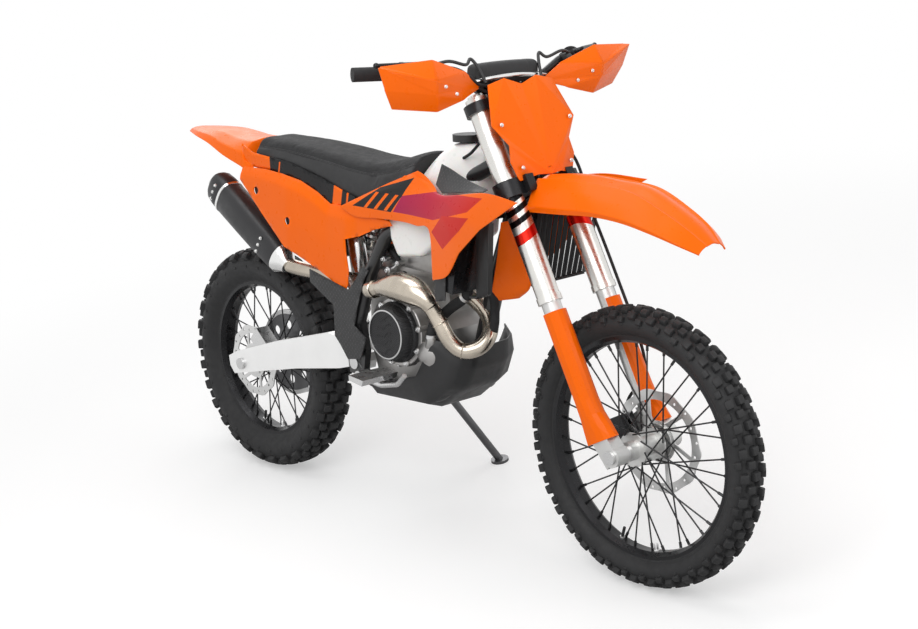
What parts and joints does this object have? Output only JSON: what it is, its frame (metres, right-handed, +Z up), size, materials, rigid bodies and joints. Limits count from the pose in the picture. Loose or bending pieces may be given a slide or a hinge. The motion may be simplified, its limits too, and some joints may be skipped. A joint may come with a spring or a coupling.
{
  "type": "enduro motorcycle",
  "caption": "Off-road enduro motorcycle with knobby tyres, free wheels, turning fork and handlebar, bodywork, exhaust and a folding side stand.",
  "frame": {"origin": "on the floor under the middle of the leaning bike's box", "axes": "+X towards the front wheel, +Y to the bike's left, +Z up"},
  "size_m": [2.167, 0.8102, 1.3205],
  "materials": {
    "orange_plastic": "glossy moulded",
    "black_plastic": "fine grain",
    "white_tank": "milky translucent",
    "black_frame": "satin powder coat",
    "alloy": "brushed",
    "cast_alloy": "as cast",
    "black_alloy": "black anodised",
    "stainless": "heat tinted",
    "steel": "plain",
    "black_can": "satin",
    "tyre_rubber": "moulded",
    "black_rubber": "matte",
    "seat_cover": "gripper vinyl",
    "damper": "white spring"
  },
  "bodies": {
    "chassis": {"frame": "black_frame", "subframe": "alloy", "swingarm": "alloy", "pivot_bolt": "steel", "rear_axle": "steel", "rear_caliper": "black_alloy", "shock": "damper", "chain": "steel", "front_sprocket": "steel", "crankcase": "cast_alloy", "cylinder_head": "cast_alloy", "clutch_cover": "black_alloy", "generator_cover": "cast_alloy", "throttle_body": "black_plastic", "header_pipe": "stainless", "silencer": "black_can", "radiators": "black_alloy", "radiator_guards": "black_plastic", "fuel_tank": "white_tank", "tank_cap": "black_plastic", "seat": "seat_cover", "airbox": "black_plastic", "shroud_left": "orange_plastic", "shroud_right": "orange_plastic", "side_panel_left": "orange_plastic", "side_panel_right": "orange_plastic", "rear_fender": "orange_plastic", "frame_guards": "black_plastic", "tank_guards": "black_plastic", "front_panel": "orange_plastic", "skid_plate": "black_plastic", "foot_pegs": "steel", "foot_controls": "black_alloy"},
    "steering": {"lower_clamp": "black_alloy", "upper_clamp": "cast_alloy", "fork_tubes": "alloy", "fork_sliders": "cast_alloy", "front_axle": "steel", "front_caliper": "black_alloy", "handlebar": "black_alloy", "bar_pad": "black_rubber", "grips": "black_rubber", "levers": "black_alloy", "fork_guards": "orange_plastic", "hand_guards": "orange_plastic", "number_plate": "orange_plastic", "front_fender": "orange_plastic", "front_brake_hose": "black_rubber"},
    "front_wheel": {"front_tyre": "tyre_rubber", "front_rim": "black_alloy", "front_hub": "alloy", "front_spokes": "steel", "front_disc": "steel"},
    "rear_wheel": {"rear_tyre": "tyre_rubber", "rear_rim": "black_alloy", "rear_hub": "alloy", "rear_spokes": "steel", "rear_disc": "steel", "rear_sprocket": "steel"},
    "side_stand": {"side_stand": "steel"}
  },
  "joints": [
    {"name": "steering", "type": "hinge", "parent": "chassis", "child": "steering", "pos_m": [0.39277, -0.05333, 0.92441], "axis": [-0.4394, 0.1637, 0.8833], "range_deg": [-43, 43]},
    {"name": "front_wheel_spin", "type": "hinge", "parent": "steering", "child": "front_wheel", "pos_m": [0.7385, -0.16124, 0.34199], "axis": [-0.0001, 0.9833, -0.1822], "continuous": true},
    {"name": "rear_wheel_spin", "type": "hinge", "parent": "chassis", "child": "rear_wheel", "pos_m": [-0.7465, -0.1627, 0.33505], "axis": [-0.0001, 0.9833, -0.1822], "continuous": true},
    {"name": "side_stand_fold", "type": "hinge", "parent": "chassis", "child": "side_stand", "pos_m": [-0.14051, -0.0363, 0.31429], "axis": [0.2179, 0.8775, 0.4272], "range_deg": [0, 97]}
  ]
}
